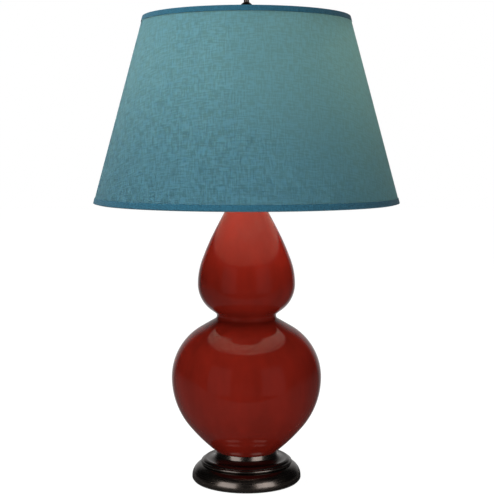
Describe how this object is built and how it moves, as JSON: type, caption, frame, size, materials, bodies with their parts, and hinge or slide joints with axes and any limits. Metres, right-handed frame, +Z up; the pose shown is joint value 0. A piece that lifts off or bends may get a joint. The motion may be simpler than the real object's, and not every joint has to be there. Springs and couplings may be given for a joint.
{
  "type": "table lamp",
  "caption": "Table lamp: double gourd glazed ceramic body on a turned bronze foot, tapered fabric shade on a lift-off harp, ball finial and turn switch.",
  "frame": {"origin": "centre of the felt underside of the foot, on the surface that the lamp stands on", "axes": "+Z up along the lamp axis, -Y towards the front where the switch knob points, +X to the right seen from the front"},
  "size_m": [0.4842, 0.4841, 0.7752],
  "materials": {
    "red_glaze": "deep oxblood red gloss glaze",
    "patina_bronze": "deep patina bronze, satin",
    "cast_iron": "as cast",
    "felt": "wool felt",
    "zinc_steel": "zinc plated",
    "brass": "turned, satin",
    "rubber": "matte",
    "black_plastic": "moulded, satin",
    "phenolic": "moulded phenolic",
    "pressboard": "pressed board sleeve",
    "aluminium": "rolled",
    "black_glass": "opaque vitreous bead",
    "frosted_glass": "frosted, white coated inside",
    "white_wire": "white enamelled wire",
    "white_liner": "white translucent backing",
    "teal_linen": "teal woven linen, slubbed",
    "teal_trim": "darker teal folded tape"
  },
  "bodies": {
    "stand": {"felt_pad": "felt", "base_shell": "patina_bronze", "base_weight": "cast_iron", "cord_bush": "black_plastic", "pipe_washer": "zinc_steel", "lock_washer": "zinc_steel", "pipe_nut": "zinc_steel", "lamp_pipe": "zinc_steel", "seat_gasket": "rubber", "gourd_lower": "red_glaze", "gourd_upper": "red_glaze", "neck_gasket": "rubber", "vase_cap": "patina_bronze", "neck_riser": "patina_bronze", "harp_saddle": "patina_bronze", "saddle_nut": "brass", "socket_cap": "patina_bronze", "cap_set_screw": "zinc_steel", "socket_shell": "patina_bronze", "insulating_sleeve": "pressboard", "socket_interior": "phenolic", "terminal_screws": "brass", "screw_shell": "aluminium", "centre_contact": "brass"},
    "switch": {"switch_stem": "brass", "switch_knob": "black_plastic"},
    "bulb_base": {"bulb_contact": "zinc_steel", "bulb_insulator": "black_glass", "bulb_base": "aluminium"},
    "bulb_glass": {"bulb_glass": "frosted_glass"},
    "harp": {"harp_wire": "patina_bronze"},
    "ferrule_left": {"ferrule_left": "patina_bronze"},
    "ferrule_right": {"ferrule_right": "patina_bronze"},
    "shade": {"finial_stud": "brass", "spider_hub": "white_wire", "spider_arms": "white_wire", "top_ring": "white_wire", "bottom_ring": "white_wire", "shade_liner": "white_liner", "shade_fabric": "teal_linen", "top_trim": "teal_trim", "bottom_trim": "teal_trim"},
    "finial_insert": {"finial_insert": "brass"},
    "finial_knob": {"finial_knob": "patina_bronze"}
  },
  "joints": [
    {"name": "switch_turn", "type": "hinge", "parent": "stand", "child": "switch", "pos_m": [0, -0.03, 0.52276], "axis": [0, -1, 0], "continuous": true},
    {"name": "bulb_lift", "type": "slide", "parent": "stand", "child": "bulb_base", "axis": [0, 0, 1], "range_m": [0, 0.01814]},
    {"name": "bulb_turn", "type": "hinge", "parent": "bulb_base", "child": "bulb_glass", "pos_m": [0, 0, 0.6], "axis": [0, 0, 1], "range_deg": [0, 1800]},
    {"name": "harp_lift", "type": "slide", "parent": "stand", "child": "harp", "axis": [0, 0, 1], "range_m": [0, 0.17]},
    {"name": "ferrule_left_lift", "type": "slide", "parent": "harp", "child": "ferrule_left", "axis": [0, 0, 1], "range_m": [0, 0.015]},
    {"name": "ferrule_right_lift", "type": "slide", "parent": "harp", "child": "ferrule_right", "axis": [0, 0, 1], "range_m": [0, 0.015]},
    {"name": "shade_swivel", "type": "hinge", "parent": "harp", "child": "shade", "pos_m": [0, 0, 0.716], "axis": [0, 0, 1], "continuous": true},
    {"name": "finial_lift", "type": "slide", "parent": "shade", "child": "finial_insert", "axis": [0, 0, 1], "range_m": [0, 0.01128]},
    {"name": "finial_turn", "type": "hinge", "parent": "finial_insert", "child": "finial_knob", "pos_m": [0, 0, 0.75], "axis": [0, 0, 1], "range_deg": [0, 4320]}
  ],
  "couplings": [
    {"joint": "bulb_turn", "follows": "bulb_lift", "rad_per_m": 1731.6},
    {"joint": "finial_turn", "follows": "finial_lift", "rad_per_m": 6679.3}
  ]
}
